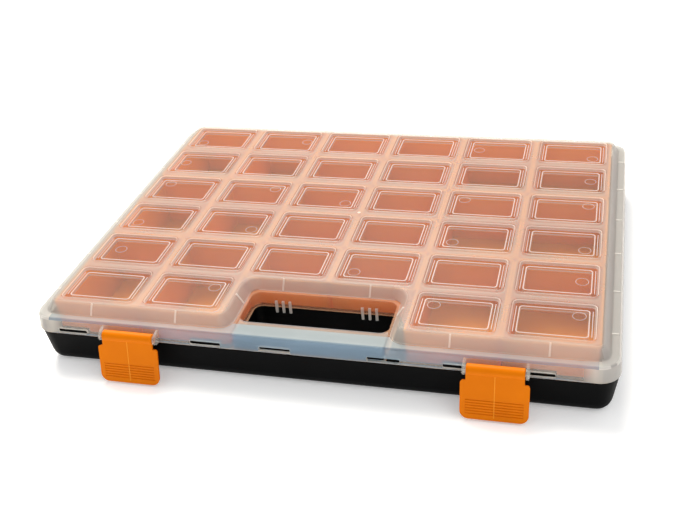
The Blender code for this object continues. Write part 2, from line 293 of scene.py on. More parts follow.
def fresh(name):
    """A material with only an output node, its nodes and its links."""
    material = bpy.data.materials.new(name)
    material.use_nodes = True
    tree = material.node_tree
    tree.nodes.clear()
    output = tree.nodes.new("ShaderNodeOutputMaterial")
    return material, tree, output


def add(tree, kind, **values):
    """A node with its input sockets or properties set by name."""
    node = tree.nodes.new(kind)
    for key, value in values.items():
        socket = key.replace("_", " ")
        if socket in node.inputs:
            node.inputs[socket].default_value = value
        else:
            setattr(node, key, value)
    return node


def noise(tree, scale, detail=4, stretch=(1, 1, 1)):
    """Noise over the piece's own coordinates."""
    place = add(tree, "ShaderNodeTexCoord")
    size = add(tree, "ShaderNodeMapping")
    size.inputs["Scale"].default_value = stretch
    pattern = add(tree, "ShaderNodeTexNoise", Scale=scale, Detail=detail)
    tree.links.new(place.outputs["Object"], size.inputs["Vector"])
    tree.links.new(size.outputs["Vector"], pattern.inputs["Vector"])
    return pattern.outputs["Fac"]


def ramp(tree, source, stops):
    """A colour ramp over source with (place, colour) stops."""
    node = tree.nodes.new("ShaderNodeValToRGB")
    node.color_ramp.elements[0].position = stops[0][0]
    node.color_ramp.elements[0].color = (*stops[0][1], 1)
    node.color_ramp.elements[1].position = stops[-1][0]
    node.color_ramp.elements[1].color = (*stops[-1][1], 1)
    for place, colour in stops[1:-1]:
        node.color_ramp.elements.new(place).color = (*colour, 1)
    tree.links.new(source, node.inputs["Fac"])
    return node.outputs["Color"]


def spread(tree, source, low, high):
    """Source from 0–1 mapped to low–high."""
    node = add(tree, "ShaderNodeMapRange")
    node.inputs["To Min"].default_value = low
    node.inputs["To Max"].default_value = high
    tree.links.new(source, node.inputs["Value"])
    return node.outputs["Result"]


def bumps(tree, source, strength, distance):
    """A normal bumped by source."""
    node = add(tree, "ShaderNodeBump", Strength=strength, Distance=distance)
    tree.links.new(source, node.inputs["Height"])
    return node.outputs["Normal"]


def moulded(name, dark, light, roughness, grain, bump, gloss, glow=0.0):
    """Moulded plastic: slight cloudiness of colour, fine grain, rubbed patches and, with glow, some light
    passed through."""
    material, tree, output = fresh(name)
    shader = add(tree, "ShaderNodeBsdfPrincipled", Specular_IOR_Level=gloss)
    links = tree.links
    colour = ramp(tree, noise(tree, 28, 5), [(0.3, dark), (0.7, light)])
    links.new(colour, shader.inputs["Base Color"])
    rubbed = noise(tree, 90, 8, (1, 3, 1))
    links.new(spread(tree, rubbed, *roughness), shader.inputs["Roughness"])
    links.new(bumps(tree, noise(tree, grain, 3), bump, 0.0004), shader.inputs["Normal"])
    surface = shader.outputs["BSDF"]
    if glow:
        through = add(tree, "ShaderNodeBsdfTranslucent")
        links.new(colour, through.inputs["Color"])
        mix = add(tree, "ShaderNodeMixShader", Fac=glow)
        links.new(surface, mix.inputs[1])
        links.new(through.outputs["BSDF"], mix.inputs[2])
        surface = mix.outputs["Shader"]
    links.new(surface, output.inputs["Surface"])
    return material


HAZE_START, HAZE_END = 176, 184


def toward_ends(tree, start, end, amount):
    """0 in the middle of the case, rising to amount between two distances from it along X."""
    place = add(tree, "ShaderNodeTexCoord")
    split = add(tree, "ShaderNodeSeparateXYZ")
    distance = add(tree, "ShaderNodeMath", operation="ABSOLUTE")
    rise = add(tree, "ShaderNodeMapRange")
    rise.inputs["From Min"].default_value = start * MM
    rise.inputs["From Max"].default_value = end * MM
    rise.inputs["To Max"].default_value = amount
    tree.links.new(place.outputs["Object"], split.inputs["Vector"])
    tree.links.new(split.outputs["X"], distance.inputs[0])
    tree.links.new(distance.outputs["Value"], rise.inputs["Value"])
    return rise.outputs["Result"]


def frosted(name, veil, colour, tint=(0.97, 0.965, 0.95), ends=0):
    """Thin frosted plastic: part see-through, part a milky veil that also passes light from behind."""
    roughness, cloud, through = 0.32, 0.12, 0.4
    material, tree, output = fresh(name)
    links = tree.links
    clear = add(tree, "ShaderNodeBsdfTransparent", Color=(*tint, 1))
    milk = add(tree, "ShaderNodeBsdfPrincipled", Base_Color=(*colour, 1), Specular_IOR_Level=0.5)
    links.new(spread(tree, noise(tree, 60, 6), roughness - 0.07, roughness + 0.07), milk.inputs["Roughness"])
    links.new(bumps(tree, noise(tree, 700, 3), 0.12, 0.0003), milk.inputs["Normal"])
    behind = add(tree, "ShaderNodeBsdfTranslucent", Color=(*colour, 1))
    body = add(tree, "ShaderNodeMixShader", Fac=through)
    links.new(milk.outputs["BSDF"], body.inputs[1])
    links.new(behind.outputs["BSDF"], body.inputs[2])
    mix = add(tree, "ShaderNodeMixShader")
    thickness = spread(tree, noise(tree, 22, 5), veil * (1 - cloud), veil * (1 + cloud))
    if ends:
        both = add(tree, "ShaderNodeMath", operation="ADD")
        links.new(thickness, both.inputs[0])
        links.new(toward_ends(tree, HAZE_START, HAZE_END, ends), both.inputs[1])
        thickness = both.outputs["Value"]
    links.new(thickness, mix.inputs["Fac"])
    links.new(clear.outputs["BSDF"], mix.inputs[1])
    links.new(body.outputs["Shader"], mix.inputs[2])
    links.new(mix.outputs["Shader"], output.inputs["Surface"])
    return material


BLACK = moulded("base_black", (0.0006, 0.0007, 0.0008), (0.0016, 0.0017, 0.0019), (0.40, 0.56),
                1100, 0.10, 0.04)
LATCH = moulded("latch_orange", (0.60, 0.142, 0.0), (0.68, 0.170, 0.0), (0.28, 0.40), 700, 0.05, 0.06)
# Lighter, glossier orange on the latch's parting line: painted highlight along the ridge.
LATCH_LINE_HIGHLIGHT = moulded("latch_line_highlight", (0.72, 0.24, 0.01), (0.78, 0.28, 0.02), (0.30, 0.40), 700, 0.05, 0.10)
BIN = moulded("bin_orange", (0.92, 0.37, 0.025), (0.97, 0.42, 0.040), (0.38, 0.50), 800, 0.04, 0.10, 0.4)
MILK = (0.74, 0.725, 0.68)
LID_MATERIALS = (
    frosted("lid_plate", 0.34, (0.66, 0.63, 0.58)),
    frosted("lid_pocket", 0.08, MILK),
    frosted("lid_window", 0.085, MILK),
    frosted("lid_slope", 0.41, MILK),
    frosted("lid_skirt", 0.25, MILK, ends=0.32),
    # Bright milky white on edges, rims, ribs, ticks and marks: partly the milkier look of walls seen edge-on,
    # partly painted highlight where rounded edges catch the light.
    frosted("lid_edge_milk_and_highlight", 0.62, (0.95, 0.94, 0.90)),
    # Greyer, milkier copy of the plastic for the rear and side walls: painted shade.
    frosted("lid_side_painted_shade", 0.70, (0.56, 0.55, 0.53), (0.90, 0.90, 0.88)),
    # The strip over the handle bar: its top made lighter (painted light), its front darker and bluer (painted
    # shade).
    frosted("lid_strip_top_painted_light", 0.42, (0.54, 0.63, 0.67)),
    frosted("lid_strip_front_painted_shade", 0.36, (0.42, 0.60, 0.78)),
    # Orange tint in the walls round the grip: painted orange glow of light from the bins.
    frosted("lid_recess", 0.30, (0.86, 0.46, 0.26)),
    # Bright orange edge by the grip: painted highlight with a painted orange glow.
    frosted("lid_recess_edge", 0.62, (0.98, 0.66, 0.42)),
)


# ---------------------------------------------------------------- lid

LID_PLAN = rectangle(0, 0, HALF_X, HALF_Y, LID_CORNER)
FOOT_X, FOOT_Y = HALF_X - FOOT_INSET, HALF_Y - FOOT_INSET
UPPER_PLAN = [
    (-FOOT_X, -FOOT_Y, PLATE_CORNER), (-RECESS_HALF, -FOOT_Y, FRONT_CORNER),
    (-RECESS_HALF, RECESS_REAR, RECESS_CORNER), (RECESS_HALF, RECESS_REAR, RECESS_CORNER),
    (RECESS_HALF, -FOOT_Y, FRONT_CORNER), (FOOT_X, -FOOT_Y, PLATE_CORNER),
    (FOOT_X, FOOT_Y, PLATE_CORNER), (-FOOT_X, FOOT_Y, PLATE_CORNER),
]
GRIP_Y = (GRIP_REAR + GRIP_FRONT) / 2
GRIP_DEEP = (GRIP_REAR - GRIP_FRONT) / 2
NOTCH_XS = (-169, -120, -71, -22, 51.5, 101, 149.5)
NOTCH_HALF, NOTCH_LOW, NOTCH_TOP = 11, 29.1, 32.1
FLOOR_Z = TOP - POCKET_DEPTH
UNDER_Z = FLOOR_Z - WALL
TICK_HALF = 0.65
SLOPE_TICK_RISE, LEDGE_TICK_RISE = 0.7, 0.6
TOOTH_PITCH, TOOTH_HALF = 5, 0.9
TOOTH_LOW, TOOTH_HIGH = 24, 33.5


def skirt_inset(z):
    """How far the skirt has drawn in at height z."""
    return SKIRT_DRAFT * (z - SKIRT_BOTTOM) / (LEDGE - SKIRT_BOTTOM)


def slope_inset(z):
    """How far the sloping wall has drawn in at height z."""
    return SLOPE_RUN * (z - LEDGE) / (TOP - LEDGE)


def lid_box(bm):
    """The skirt and ledge, still solid."""
    top = soften([(0, SKIRT_BOTTOM + 0.01, 0), (skirt_inset(LEDGE), LEDGE, 1.8), (LID_CORNER - 1, LEDGE, 0)])
    stack(bm, LID_PLAN, [(0.4, SKIRT_BOTTOM), (0, SKIRT_BOTTOM + 0.4)] + top[1:])


def lid_upper(bm):
    """The raised part, which goes round the handle recess."""
    stack(bm, UPPER_PLAN, soften([(-1.2, LEDGE - 3, 0), (-1.2, LEDGE - 0.02, 0), (0, LEDGE, 0.9),
                                  (SLOPE_RUN, TOP, 2.0), (FOOT_INSET + 1, TOP, 0)], 5))


def lid_hollow_upper(bm):
    """The space inside the raised part."""
    inner = WALL + 0.3
    roof = TOP - PLATE
    stack(bm, UPPER_PLAN, soften([(inner, LEDGE - 6, 0), (inner, LEDGE - WALL + 0.2, 0),
                                  (slope_inset(roof) + inner, roof, 1.2), (FOOT_INSET + 3, roof, 0)]))


def lid_hollow_lower(bm):
    """The space inside the skirt, as a horseshoe round the grip hole and under the strip."""
    post = GRIP_HALF + WALL
    roof = LEDGE - WALL
    low = SKIRT_BOTTOM - 4
    rings = []
    sides = ((skirt_inset(low), low), (skirt_inset(roof - 1), roof - 1), (skirt_inset(roof) + 0.6, roof))
    for inset, z in sides:
        x, y = HALF_X - WALL - inset, HALF_Y - WALL - inset
        corner = LID_CORNER - WALL
        plan = [(-x, -y, corner), (-post, -y, 1), (-post, GRIP_REAR + WALL, RECESS_CORNER),
                (post, GRIP_REAR + WALL, RECESS_CORNER), (post, -y, 1), (x, -y, corner),
                (x, y, corner), (-x, y, corner)]
        rings.append(ring(plan, 0, z))
    loft(bm, rings)


def lid_grip(bm):
    """The grip hole, with a softened edge on the strip."""
    plan = rectangle(0, GRIP_Y, GRIP_HALF, GRIP_DEEP, GRIP_CORNER)
    stack(bm, plan, [(0, SKIRT_BOTTOM - 6), (0, LEDGE - 0.8), (-0.25, LEDGE - 0.2), (-0.9, LEDGE + 0.05),
                     (-0.9, LEDGE + 0.3)])


def lid_strip_hollow(bm):
    """The channel under the handle strip, which the base's bar fills."""
    front = -HALF_Y + WALL + skirt_inset(LEDGE) - 0.3
    stack(bm, rectangle(0, (front + GRIP_FRONT + 3) / 2, GRIP_HALF, (GRIP_FRONT + 3 - front) / 2, 1),
          [(0, SKIRT_BOTTOM - 6), (0, LEDGE - WALL)], 3)


def lid_bosses(bm):
    """The pocket undersides, which follow the pockets down."""
    for column, row in lid_cells():
        x, y = cell(column, row)
        stack(bm, rectangle(x, y, POCKET[0] + WALL, POCKET[1] + WALL, POCKET_CORNER + WALL),
              [(1.2, UNDER_Z), (0.4, UNDER_Z + 0.4), (0, UNDER_Z + 1.2), (0, TOP - PLATE + 0.4)], 5)


def lid_pockets(bm):
    """Shallow pockets with sloping sides."""
    for column, row in lid_cells():
        x, y = cell(column, row)
        plan = rectangle(x, y, *POCKET, POCKET_CORNER)
        sides = soften([(3, FLOOR_Z, 0), (1.5, FLOOR_Z, 0.8), (0, TOP, 0.8), (-2, TOP, 0)], 4)[1:-1]
        rings = [ring(plan, inset, z + (0.02 if inset < -0.5 else 0), 6) for inset, z in sides]
        rings.append(ring(plan, -0.8, TOP + 1, 6))
        loft(bm, rings)


def lid_ribs(bm):
    """A fine rectangular rib through each pocket floor, with a short line beside it at each end."""
    low, high = UNDER_Z - RIB_DROP, FLOOR_Z + RIB_RISE
    for column, row in lid_cells():
        x, y = cell(column, row)
        outer = rectangle(x, y, *RIB, 2.6)
        inner = rectangle(x, y, RIB[0] - RIB_WIDTH, RIB[1] - RIB_WIDTH, 1.9)
        loft(bm, [ring(outer, 0.1, high - 0.15, 5), ring(outer, 0, low + 0.2, 5), ring(outer, 0.2, low, 5),
                  ring(inner, -0.2, low, 5), ring(inner, 0, low + 0.2, 5), ring(inner, -0.1, high - 0.15, 5),
                  ring(inner, -0.28, high, 5), ring(outer, 0.28, high, 5)], closed=True)
        for side in (-1, 1):
            line = rectangle(x + side * (RIB[0] + 1.6), y, 0.3, RIB[1] - 1.0, 0.2)
            loft(bm, [ring(line, 0, FLOOR_Z - 0.3, 3), ring(line, 0.02, FLOOR_Z + 0.2, 3),
                      ring(line, 0.15, FLOOR_Z + 0.3, 3)])


def lid_pin_marks(bm):
    """Round ejector marks, one in some pockets, each (column, row, right of middle, behind middle)."""
    marks = [(1, 1, -16, -8), (2, 1, 17, 2), (1, 2, -17, 0), (1, 3, -15, 9), (2, 3, 15, 9), (1, 4, -16, -8),
             (2, 4, 16, -8), (1, 5, -12, 0), (2, 6, 16, 8), (3, 3, 16, -8), (5, 3, -16, 8), (6, 3, 16, 8),
             (5, 4, -16, -8), (6, 4, 16, -8), (4, 5, -16, -8), (6, 5, 16, 0), (5, 6, -16, 8), (6, 6, 16, 8),
             (5, 1, -16, 0), (6, 1, 16, -8), (6, 2, 16, 0)]
    for column, row, right, back in marks:
        x, y = cell(column, row)
        section = ((4.5, FLOOR_Z - 0.3), (4.5, FLOOR_Z + 0.1), (4.3, FLOOR_Z + 0.25),
                   (4.1, FLOOR_Z + 0.1), (4.1, FLOOR_Z - 0.3))
        loft(bm, [circle(x + right, y + back, radius, z) for radius, z in section], closed=True)


def lid_gate(bm):
    """The moulding gate's mark in the middle."""
    stack(bm, rectangle(0, 0, 1.7, 1.7, 1.69), [(0, TOP - 0.5), (0, TOP - 0.15), (0.4, TOP)], 6)


def lid_notches(bm):
    """Windows just above the bottom edge of the front skirt."""
    for x in NOTCH_XS:
        outline = rectangle(x, (NOTCH_LOW + NOTCH_TOP) / 2, NOTCH_HALF, (NOTCH_TOP - NOTCH_LOW) / 2, 0.8)
        flat = ring(outline, 0, 0, 4)
        loft(bm, [[(px, y, pz) for px, pz, _ in flat] for y in (-HALF_Y - 4, -HALF_Y + WALL + 2.6)])


def lid_ticks(bm):
    """Thin raised lines on the sloping walls, one for each column and row."""
    run, rise = SLOPE_RUN, TOP - LEDGE

    def tick(foot, inward, side):
        along = (Vector(inward) * run + Vector((0, 0, rise))).normalized()
        out = (Vector((0, 0, run)) - Vector(inward) * rise).normalized()
        foot = Vector((*foot, LEDGE))
        strip(bm, foot + along * 0.2, foot + along * 9.1, side, out, 2 * TICK_HALF, SLOPE_TICK_RISE)

    for column in range(1, COLUMNS + 1):
        x = cell(column, 1)[0]
        tick((x, FOOT_Y), (0, -1, 0), (1, 0, 0))
        if column in HANDLE_COLUMNS:
            tick((x, RECESS_REAR), (0, 1, 0), (1, 0, 0))
        else:
            tick((x, -FOOT_Y), (0, 1, 0), (1, 0, 0))
    for row in range(1, ROWS + 1):
        y = cell(1, row)[1]
        for side in (-1, 1):
            strip(bm, (side * (FOOT_X - 0.5), y, LEDGE), (side * (HALF_X - 2.6), y, LEDGE),
                  (0, 1, 0), (0, 0, 1), 2 * TICK_HALF, LEDGE_TICK_RISE)
    for side in (-1, 1):
        tick((side * RECESS_HALF, cell(1, ROWS)[1]), (side, 0, 0), (0, 1, 0))


def lid_ears(bm):
    """Ears on both sides of each latch."""
    y, z = LATCH_PIVOT
    outer = -HALF_Y + WALL
    outline = [(outer, LEDGE - 1.5), (outer, z - 4), (y + 1, z - 3.8)] + arc(LATCH_PIVOT, 3.6, 270, 90, 10)
    for side in (-1, 1):
        for end in (-1, 1):
            near = side * LATCH_X + end * (BARREL_HALF + 0.5)
            far = near + end * 2
            prism(bm, outline, *sorted((near, far)))


def lid_pegs(bm):
    """Pegs on the ears, which hold the latches."""
    for side in (-1, 1):
        for end in (-1, 1):
            near = side * LATCH_X + end * (BARREL_HALF + 1.5)
            tip = side * LATCH_X + end * (BARREL_HALF - 3)
            rod(bm, LATCH_PIVOT, PEG_RADIUS, *sorted((tip, near)), 20, 0.3)


def lid_clips(bm):
    """Snap clips round the hinge pins."""
    y, z = HINGE_AXIS
    inside = HALF_Y - WALL
    outline = arc(HINGE_AXIS, CLIP_OUTER, -35, 120, 16)
    outline += [(inside, z + 5.5), (inside, z + 1.5), (y + CLIP_OUTER * cos(radians(175)), z + 1.5)]
    outline += arc(HINGE_AXIS, CLIP_OUTER, 185, 205, 2) + arc(HINGE_AXIS, CLIP_INNER, 205, -35, 20)
    for x in HINGE_XS:
        prism(bm, outline, x - CLIP_HALF, x + CLIP_HALF, 0.02)


def lid_grip_teeth(bm):
    """Two groups of three small pegs on the rear wall of the grip hole, clear of the base below."""
    front, clear, root = GRIP_REAR - 1.2, GRIP_REAR - 0.2, GRIP_REAR + 0.6
    step = SKIRT_BOTTOM + 0.4
    outline = [(front, TOOTH_LOW), (clear, TOOTH_LOW), (clear, step), (root, step), (root, TOOTH_HIGH),
               (front, TOOTH_HIGH)]
    for side in (-1, 1):
        for index in (-1, 0, 1):
            x = side * PITCH_X / 2 + index * TOOTH_PITCH
            prism(bm, outline, x - TOOTH_HALF, x + TOOTH_HALF, 0.1)


(PLATE_FACE, POCKET_FACE, WINDOW_FACE, SLOPE_FACE, SKIRT_FACE, EDGE_HIGHLIGHT_FACE, SIDE_SHADE_FACE, STRIP_LIT_TOP_FACE,
 STRIP_SHADED_FRONT_FACE, RECESS_GLOW_FACE, RECESS_EDGE_GLOW_FACE) = range(len(LID_MATERIALS))


class FaceBox:
    """Where a face lies, in millimetres."""

    def __init__(self, mesh, face):
        points = [mesh.vertices[index].co / MM for index in face.vertices]
        self.low = [min(point[axis] for point in points) for axis in range(3)]
        self.high = [max(point[axis] for point in points) for axis in range(3)]
        self.middle = face.center / MM
        self.flat = abs(face.normal.z) > 0.9

    def within(self, x, y, half_x, half_y):
        """True if the whole face is inside an upright box about (x, y)."""
        return (x - half_x < self.low[0] and self.high[0] < x + half_x
                and y - half_y < self.low[1] and self.high[1] < y + half_y)


def on_tick(box):
    """True on a thin line of the sloping walls."""
    thin = 2 * TICK_HALF + 0.15
    x, y, _ = box.middle
    if box.high[0] - box.low[0] < thin:
        near_recess = abs(x) < RECESS_HALF and RECESS_REAR - 1 < y < RECESS_REAR + SLOPE_RUN + 1
        if abs(y) > FOOT_Y - SLOPE_RUN - 1 or near_recess:
            return any(abs(x - cell(column, 1)[0]) < TICK_HALF + 0.1 for column in range(1, COLUMNS + 1))
    if box.high[1] - box.low[1] < thin:
        near_recess = RECESS_HALF - 1 < abs(x) < RECESS_HALF + SLOPE_RUN + 1
        if abs(x) > FOOT_X - SLOPE_RUN - 1 or near_recess:
            return any(abs(y - cell(1, row)[1]) < TICK_HALF + 0.1 for row in range(1, ROWS + 1))
    return False


def lid_face(box):
    """Which of the lid's materials a face takes. The edge material is partly painted highlight on edges, the
    side material painted shade on the rear and side walls, the strip top and front painted light and shade,
    and the recess materials a painted orange glow.
    """
    x, y, z = box.middle
    # The skirt's bottom edge takes the painted highlight; by the grip it takes the orange-tinted painted
    # highlight.
    if box.high[2] < SKIRT_BOTTOM + 1.0:
        by_grip = abs(x) < GRIP_HALF + 2 and GRIP_FRONT < y < GRIP_REAR + 2 and z > SKIRT_BOTTOM - 0.1
        return RECESS_EDGE_GLOW_FACE if by_grip else EDGE_HIGHLIGHT_FACE
    in_notch = any(box.within(at, -HALF_Y, NOTCH_HALF + 0.1, 3.5) for at in NOTCH_XS)
    # Borders of the skirt windows: painted highlight.
    if box.high[2] < NOTCH_TOP + 0.1 and in_notch:
        return EDGE_HIGHLIGHT_FACE
    # Strip: the lit top and the shaded front are painted.
    if abs(x) < GRIP_HALF + 1 and y < GRIP_FRONT + 1:
        return STRIP_LIT_TOP_FACE if box.flat else STRIP_SHADED_FRONT_FACE
    # Walls round the grip: painted orange glow.
    if abs(x) < GRIP_HALF + 2 and y < GRIP_REAR + 2:
        on_tooth = box.high[0] - box.low[0] < 2 and abs(x) < GRIP_HALF - GRIP_CORNER
        # The teeth: painted highlight.
        if on_tooth and GRIP_FRONT + 2 < y < GRIP_REAR - 0.02:
            return EDGE_HIGHLIGHT_FACE
        return RECESS_GLOW_FACE
    # The fillet along the ledge: a painted highlight line.
    if (box.low[2] > LEDGE - 2.2 and box.high[2] < LEDGE + 0.05 and not box.flat
            and (abs(x) > HALF_X - 3.4 or abs(y) > HALF_Y - 3.4)):
        return EDGE_HIGHLIGHT_FACE
    # Skirt: the side ends take the painted shade, the front the plain skirt material.
    if box.high[2] < LEDGE + 0.1:
        return SIDE_SHADE_FACE if box.high[0] < 14 - HALF_X or box.low[0] > HALF_X - 14 else SKIRT_FACE
    # Ticks and the gate mark: painted highlight.
    if on_tick(box) or box.within(0, 0, 2, 2):
        return EDGE_HIGHLIGHT_FACE
    # Rear and side slopes: painted shade.
    if z < TOP - 0.3 and (abs(x) > FOOT_X - SLOPE_RUN or y > FOOT_Y - SLOPE_RUN):
        return SIDE_SHADE_FACE
    for column, row in lid_cells():
        middle = cell(column, row)
        if box.within(*middle, POCKET[0] + 1.6, POCKET[1] + 1.6):
            # Pocket rims, ribs, the lines beside them and ejector marks: painted highlight.
            if box.low[2] > TOP - 0.75 and not box.flat:
                return EDGE_HIGHLIGHT_FACE
            if box.high[2] > FLOOR_Z + 0.1 and box.within(*middle, RIB[0] + 2.0, RIB[1] + 0.2):
                return EDGE_HIGHLIGHT_FACE
            if not box.flat:
                return SLOPE_FACE
            inside = box.within(*middle, RIB[0] - RIB_WIDTH + 0.1, RIB[1] - RIB_WIDTH + 0.1)
            return WINDOW_FACE if inside else POCKET_FACE
    return PLATE_FACE if box.flat else SLOPE_FACE


def make_lid():
    """The frosted lid, in place of the frame's."""
    lid = shape("lid_shell", lid_box, [
        ("UNION", lid_upper), ("DIFFERENCE", lid_hollow_upper), ("DIFFERENCE", lid_hollow_lower),
        ("DIFFERENCE", lid_grip), ("DIFFERENCE", lid_strip_hollow), ("UNION", lid_bosses),
        ("DIFFERENCE", lid_pockets), ("UNION", lid_ribs), ("UNION", lid_pin_marks), ("UNION", lid_gate),
        ("DIFFERENCE", lid_notches), ("UNION", lid_ticks), ("UNION", lid_ears), ("UNION", lid_pegs),
        ("UNION", lid_clips), ("UNION", lid_grip_teeth)])
    lid.data.materials.clear()
    for material in LID_MATERIALS:
        lid.data.materials.append(material)
    for face in lid.data.polygons:
        face.material_index = lid_face(FaceBox(lid.data, face))
    finish_mesh(lid)
    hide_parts("lid")
    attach(lid, "lid")


# ---------------------------------------------------------------- base

BASE_PLAN = rectangle(0, 0, HALF_X - BASE_STEP, HALF_Y - BASE_STEP, LID_CORNER)


def base_body(bm):
    """The tapering outside up to the shoulder, still solid."""
    stack(bm, BASE_PLAN, soften([(16, 0, 0), (BASE_DRAFT, 0, 9), (0, BASE_SHOULDER, 0.6),
                                 (8, BASE_SHOULDER, 0)], 7))


def base_rim(bm):
    """The rim inside the lid's skirt."""
    lip = RIM_INSET - BASE_STEP
    stack(bm, BASE_PLAN, [(lip + 3, 11), (lip, BASE_SHOULDER), (lip, BASE_RIM - 0.4), (lip + 0.4, BASE_RIM)])


def base_cavity(bm):
    """The inside of the tray, as a horseshoe round the grip."""
    lip = RIM_INSET + BASE_WALL
    post = GRIP_HALF + BASE_WALL + GAP
    rear = GRIP_REAR + BASE_WALL + GAP
    x, y = HALF_X - lip, HALF_Y - lip
    plan = [(-x, -y, 10), (-post, -y, 4), (-post, rear, 6), (post, rear, 6), (post, -y, 4), (x, -y, 10),
            (x, y, 10), (-x, y, 10)]
    sides = soften([(14, FLOOR, 0), (5.4, FLOOR, 5), (0, BASE_RIM + 2, 0)], 5)[1:]
    loft(bm, [ring(plan, min(inset, 9), z) for inset, z in sides])


def base_rim_cut(bm):
    """Room round the grip for the lid's walls."""
    lip = BASE_WALL + GAP + 0.3
    rear = GRIP_REAR + lip
    front = -HALF_Y - 5
    stack(bm, rectangle(0, (front + rear) / 2, GRIP_HALF + lip, (rear - front) / 2, 1),
          [(0, BASE_SHOULDER), (0, BASE_RIM + 3)], 3)


def base_tabs(bm):
    """Tabs on the front rim, behind the windows of the lid's skirt and clear of the lid's grip walls."""
    rear = -HALF_Y + RIM_INSET + BASE_WALL
    front = -HALF_Y + WALL + SKIRT_DRAFT / 2 + 0.2
    beside_grip = GRIP_HALF + WALL + GAP
    for x in NOTCH_XS:
        left, right = x - NOTCH_HALF - 0.5, x + NOTCH_HALF + 0.5
        if -beside_grip < left and right < beside_grip:
            continue
        if abs(x) < beside_grip:
            left = beside_grip
        plan = rectangle((left + right) / 2, (front + rear) / 2, (right - left) / 2, (rear - front) / 2, 0.3)
        stack(bm, plan, [(0, BASE_SHOULDER - 2), (0, NOTCH_TOP), (0.2, NOTCH_TOP + 0.4)], 4)


def base_grip(bm):
    """The grip hole, with softened edges above and below."""
    stack(bm, rectangle(0, GRIP_Y, GRIP_HALF, GRIP_DEEP, GRIP_CORNER),
          [(-0.8, -5), (-0.8, 0), (-0.2, 0.3), (0, 1), (0, BASE_SHOULDER - 0.5), (-0.5, BASE_SHOULDER + 0.1),
           (-0.5, BASE_RIM + 3)])


def base_bar(bm):
    """The handle bar in front of the grip."""
    rear = GRIP_FRONT - GAP
    front = -HALF_Y + RIM_INSET + GAP
    stack(bm, rectangle(0, (rear + front) / 2, GRIP_HALF - GAP, (rear - front) / 2, 2),
          soften([(0, BASE_SHOULDER - 6, 0), (0, HANDLE_TOP, 1.2), (5, HANDLE_TOP, 0)]), 4)


def base_bar_hollow(bm):
    """The hollow of the bar, open below."""
    rear = GRIP_FRONT - BASE_WALL
    front = -HALF_Y + 3 * RIM_INSET + BASE_WALL
    stack(bm, rectangle(0, (rear + front) / 2, GRIP_HALF - 1, (rear - front) / 2, 1),
          [(0, -5), (0, HANDLE_TOP - BASE_WALL)], 3)


def base_catches(bm):
    """Ledges on the front wall, which the latch hooks hold."""
    low, high = CATCH_Z
    wall = -HALF_Y + BASE_DRAFT + BASE_WALL / 2
    for side in (-1, 1):
        prism(bm, [(wall, low), (CATCH_TIP, low), (CATCH_TIP, high - 1), (wall, high + 3)],
              side * LATCH_X - CATCH_HALF, side * LATCH_X + CATCH_HALF)


def base_lugs(bm):
    """Pairs of lugs on the rear wall, one on each side of a clip."""
    wall = HALF_Y - BASE_DRAFT - BASE_WALL / 2
    top = BASE_SHOULDER - 0.3
    outline = [(wall, top - 15), (wall, top), (HALF_Y + 0.3, top)] + arc(HINGE_AXIS, LUG_RADIUS, 170, -60, 18)
    for x in HINGE_XS:
        for end in (-1, 1):
            near = x + end * (CLIP_HALF + LUG_GAP)
            prism(bm, outline, *sorted((near, near + end * LUG_THICK)))


def base_pins(bm):
    """Hinge pins between the lugs."""
    reach = CLIP_HALF + LUG_GAP + LUG_THICK / 2
    for x in HINGE_XS:
        rod(bm, HINGE_AXIS, PIN_RADIUS, x - reach, x + reach, 20, 0.1)


def make_base():
    """The black base tray, in place of the frame's."""
    base = shape("base_body", base_body, [
        ("UNION", base_rim), ("DIFFERENCE", base_cavity), ("DIFFERENCE", base_rim_cut),
        ("DIFFERENCE", base_grip), ("UNION", base_bar), ("DIFFERENCE", base_bar_hollow),
        ("UNION", base_tabs), ("UNION", base_catches), ("UNION", base_lugs), ("UNION", base_pins)])
    base.data.materials.clear()
    base.data.materials.append(BLACK)
    finish_mesh(base)
    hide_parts("base_tray")
    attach(base, "base")


# ---------------------------------------------------------------- bins

def make_bin(node):
    """A lift-out bin in place of one of the frame's, with a fine rim and rounded floor."""
    low, high = (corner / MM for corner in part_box(node))
    plan = rectangle((low.x + high.x) / 2, (low.y + high.y) / 2,
                     (high.x - low.x) / 2, (high.y - low.y) / 2, BIN_CORNER)
    floor = low.z
    lip = BIN_TOP - BIN_LIP[1]
    outer = soften([(6, floor, 0), (BIN_DRAFT, floor, 2.4), (0.1, lip - 0.6, 0.2), (-BIN_LIP[0], lip, 0.2),
                    (-BIN_LIP[0], BIN_TOP, 0.35), (BIN_WALL / 2, BIN_TOP, 0)], 5)
    inner = soften([(BIN_WALL / 2, BIN_TOP, 0), (BIN_WALL, BIN_TOP, 0.35),
                    (BIN_DRAFT + BIN_WALL, floor + BIN_WALL, 2.4), (7, floor + BIN_WALL, 0)], 5)

    def build(bm):
        loft(bm, [ring(plan, min(inset, 3), z, 6) for inset, z in outer + inner[1:]])

    made = tool(build, node.replace("bin_", "cup_"))
    made.data.materials.append(BIN)
    finish_mesh(made, 40)
    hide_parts(node)
    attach(made, "base")


# ---------------------------------------------------------------- latches

def latch_point(distance, offset):
    """A (y, z) point at a distance down the leaning plate and an offset out from it."""
    y, z = LATCH_PIVOT
    return (y - sin(LATCH_LEAN) * distance - cos(LATCH_LEAN) * offset,
            z - cos(LATCH_LEAN) * distance + sin(LATCH_LEAN) * offset)


